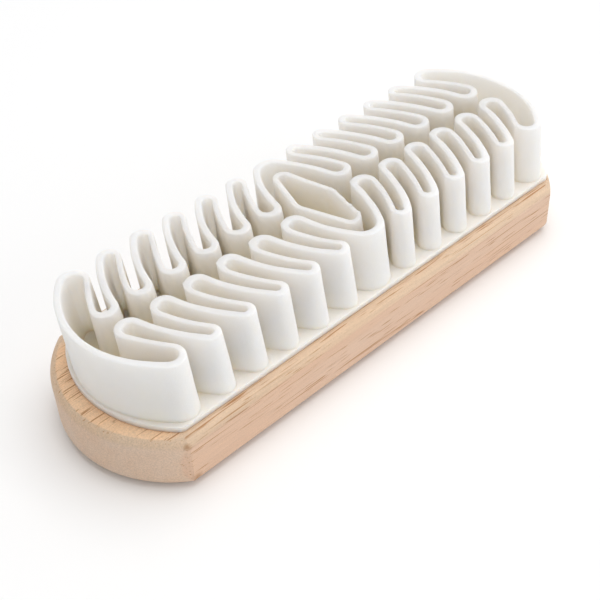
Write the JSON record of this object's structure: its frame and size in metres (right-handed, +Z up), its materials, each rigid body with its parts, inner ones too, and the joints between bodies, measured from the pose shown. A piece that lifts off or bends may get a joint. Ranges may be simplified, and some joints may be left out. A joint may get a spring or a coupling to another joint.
{
  "type": "suede brush",
  "caption": "Hand-held suede brush: a flat wooden block with rounded ends under a crepe rubber head of upright folded walls.",
  "frame": {"origin": "middle of the block's flat back, the face that the brush lies on in the picture", "axes": "+X along the brush, +Y across it, +Z up from the flat back towards the lips of the rubber folds"},
  "size_m": [0.155, 0.05, 0.034],
  "materials": {
    "beech": "sanded smooth, thin matte oil",
    "contact_glue": "dried amber contact cement",
    "crepe_rubber": "matte, slightly waxy natural crepe"
  },
  "bodies": {
    "root": {"wooden_block": "beech", "glue_film": "contact_glue", "crepe_head": "crepe_rubber"}
  },
  "joints": []
}
